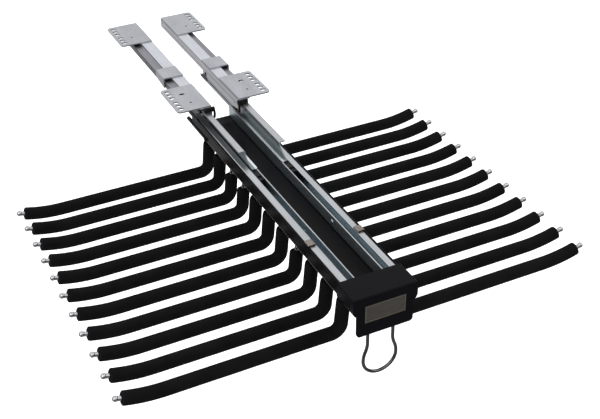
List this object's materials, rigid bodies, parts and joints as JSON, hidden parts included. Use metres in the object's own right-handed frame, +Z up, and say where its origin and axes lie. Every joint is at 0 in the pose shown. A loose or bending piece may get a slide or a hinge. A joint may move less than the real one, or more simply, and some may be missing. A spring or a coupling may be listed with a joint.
{
  "type": "pull-out trouser rack",
  "caption": "Pull-out trouser rack that hangs under a shelf: foam-sleeved rods on both sides of a black channel that rolls out on telescopic slides, with a wire pull loop in front.",
  "frame": {"origin": "midway between the left and right front slot groups, on the plane of the fixing plates' top faces", "axes": "+X to the rack's right as seen from its front, +Y to the back of the wardrobe, +Z up; the rack is at rest pulled fully out to -Y"},
  "size_m": [0.4986, 0.6127, 0.1193],
  "materials": {
    "zinc_sheet": "zinc plated sheet, satin",
    "rail_steel": "rolled bright zinc plated steel",
    "spring_steel": "brownish bright steel",
    "black_anodised": "satin black anodised",
    "black_plastic": "black moulded plastic, fine texture",
    "white_plastic": "white moulded plastic",
    "bronze_plate": null,
    "chrome": "polished chrome",
    "black_foam": "matt black foam rubber"
  },
  "bodies": {
    "fixed_rails": {"cabinet_rail_left": "rail_steel", "cabinet_rail_right": "rail_steel", "front_plate_left": "zinc_sheet", "front_plate_right": "zinc_sheet", "rear_plate_left": "zinc_sheet", "rear_plate_right": "zinc_sheet", "bridge_plates": "zinc_sheet", "front_guide_left": "black_plastic", "front_guide_right": "black_plastic", "catch_hooks": "spring_steel"},
    "intermediate_left": {"intermediate_rail_left": "rail_steel", "nose_guide_left": "black_plastic"},
    "intermediate_right": {"intermediate_rail_right": "rail_steel", "nose_guide_right": "black_plastic"},
    "upper_cage_left": {"upper_roller_cage_left": "black_plastic"},
    "upper_cage_right": {"upper_roller_cage_right": "black_plastic"},
    "lower_cage_left": {"lower_roller_cage_left": "black_plastic"},
    "lower_cage_right": {"lower_roller_cage_right": "black_plastic"},
    "carriage": {"carriage_channel": "black_anodised", "drawer_rail_left": "rail_steel", "drawer_rail_right": "rail_steel", "rail_rivets": "rail_steel", "stop_clips": "spring_steel", "front_cap": "black_plastic", "badge_plate": "bronze_plate", "pull_handle": "chrome", "rear_cap": "black_plastic", "clamp_strip": "black_anodised", "clamp_screws": "rail_steel", "arm_rod_01": "chrome", "arm_rod_02": "chrome", "arm_rod_03": "chrome", "arm_rod_04": "chrome", "arm_rod_05": "chrome", "arm_rod_06": "chrome", "arm_rod_07": "chrome", "arm_rod_08": "chrome", "arm_rod_09": "chrome", "arm_rod_10": "chrome", "arm_rod_11": "chrome", "arm_sleeves_01": "black_foam", "arm_sleeves_02": "black_foam", "arm_sleeves_03": "black_foam", "arm_sleeves_04": "black_foam", "arm_sleeves_05": "black_foam", "arm_sleeves_06": "black_foam", "arm_sleeves_07": "black_foam", "arm_sleeves_08": "black_foam", "arm_sleeves_09": "black_foam", "arm_sleeves_10": "black_foam", "arm_sleeves_11": "black_foam"},
    "upper_front_roller_left_body": {"upper_front_roller_left": "white_plastic"},
    "upper_front_roller_right_body": {"upper_front_roller_right": "white_plastic"},
    "upper_rear_roller_left_body": {"upper_rear_roller_left": "white_plastic"},
    "upper_rear_roller_right_body": {"upper_rear_roller_right": "white_plastic"},
    "lower_front_roller_left_body": {"lower_front_roller_left": "white_plastic"},
    "lower_front_roller_right_body": {"lower_front_roller_right": "white_plastic"},
    "lower_rear_roller_left_body": {"lower_rear_roller_left": "white_plastic"},
    "lower_rear_roller_right_body": {"lower_rear_roller_right": "white_plastic"}
  },
  "joints": [
    {"name": "carriage_slide", "type": "slide", "parent": "fixed_rails", "child": "carriage", "axis": [0, 1, 0], "range_m": [0, 0.25]},
    {"name": "intermediate_left_slide", "type": "slide", "parent": "fixed_rails", "child": "intermediate_left", "axis": [0, 1, 0], "range_m": [0, 0.125]},
    {"name": "upper_cage_left_slide", "type": "slide", "parent": "fixed_rails", "child": "upper_cage_left", "axis": [0, 1, 0], "range_m": [0, 0.0625]},
    {"name": "lower_cage_left_slide", "type": "slide", "parent": "fixed_rails", "child": "lower_cage_left", "axis": [0, 1, 0], "range_m": [0, 0.1875]},
    {"name": "upper_front_roller_left_turn", "type": "hinge", "parent": "upper_cage_left", "child": "upper_front_roller_left_body", "pos_m": [-0.0234, -0.008, -0.00455], "axis": [1, 0, 0], "range_deg": [0, 2048]},
    {"name": "lower_front_roller_left_turn", "type": "hinge", "parent": "lower_cage_left", "child": "lower_front_roller_left_body", "pos_m": [-0.024, -0.125, -0.0252], "axis": [1, 0, 0], "range_deg": [-1120, 0]},
    {"name": "upper_rear_roller_left_turn", "type": "hinge", "parent": "upper_cage_left", "child": "upper_rear_roller_left_body", "pos_m": [-0.0234, 0.07, -0.00455], "axis": [1, 0, 0], "range_deg": [0, 2048]},
    {"name": "lower_rear_roller_left_turn", "type": "hinge", "parent": "lower_cage_left", "child": "lower_rear_roller_left_body", "pos_m": [-0.024, -0.023, -0.0252], "axis": [1, 0, 0], "range_deg": [-1120, 0]},
    {"name": "intermediate_right_slide", "type": "slide", "parent": "fixed_rails", "child": "intermediate_right", "axis": [0, 1, 0], "range_m": [0, 0.125]},
    {"name": "upper_cage_right_slide", "type": "slide", "parent": "fixed_rails", "child": "upper_cage_right", "axis": [0, 1, 0], "range_m": [0, 0.0625]},
    {"name": "lower_cage_right_slide", "type": "slide", "parent": "fixed_rails", "child": "lower_cage_right", "axis": [0, 1, 0], "range_m": [0, 0.1875]},
    {"name": "upper_front_roller_right_turn", "type": "hinge", "parent": "upper_cage_right", "child": "upper_front_roller_right_body", "pos_m": [0.0234, -0.008, -0.00455], "axis": [1, 0, 0], "range_deg": [0, 2048]},
    {"name": "lower_front_roller_right_turn", "type": "hinge", "parent": "lower_cage_right", "child": "lower_front_roller_right_body", "pos_m": [0.024, -0.125, -0.0252], "axis": [1, 0, 0], "range_deg": [-1120, 0]},
    {"name": "upper_rear_roller_right_turn", "type": "hinge", "parent": "upper_cage_right", "child": "upper_rear_roller_right_body", "pos_m": [0.0234, 0.07, -0.00455], "axis": [1, 0, 0], "range_deg": [0, 2048]},
    {"name": "lower_rear_roller_right_turn", "type": "hinge", "parent": "lower_cage_right", "child": "lower_rear_roller_right_body", "pos_m": [0.024, -0.023, -0.0252], "axis": [1, 0, 0], "range_deg": [-1120, 0]}
  ],
  "couplings": [
    {"joint": "intermediate_left_slide", "follows": "carriage_slide", "ratio": 0.5},
    {"joint": "upper_cage_left_slide", "follows": "carriage_slide", "ratio": 0.25},
    {"joint": "lower_cage_left_slide", "follows": "carriage_slide", "ratio": 0.75},
    {"joint": "upper_front_roller_left_turn", "follows": "carriage_slide", "rad_per_m": 142.86},
    {"joint": "lower_front_roller_left_turn", "follows": "carriage_slide", "rad_per_m": -78.125},
    {"joint": "upper_rear_roller_left_turn", "follows": "carriage_slide", "rad_per_m": 142.86},
    {"joint": "lower_rear_roller_left_turn", "follows": "carriage_slide", "rad_per_m": -78.125},
    {"joint": "intermediate_right_slide", "follows": "carriage_slide", "ratio": 0.5},
    {"joint": "upper_cage_right_slide", "follows": "carriage_slide", "ratio": 0.25},
    {"joint": "lower_cage_right_slide", "follows": "carriage_slide", "ratio": 0.75},
    {"joint": "upper_front_roller_right_turn", "follows": "carriage_slide", "rad_per_m": 142.86},
    {"joint": "lower_front_roller_right_turn", "follows": "carriage_slide", "rad_per_m": -78.125},
    {"joint": "upper_rear_roller_right_turn", "follows": "carriage_slide", "rad_per_m": 142.86},
    {"joint": "lower_rear_roller_right_turn", "follows": "carriage_slide", "rad_per_m": -78.125}
  ]
}
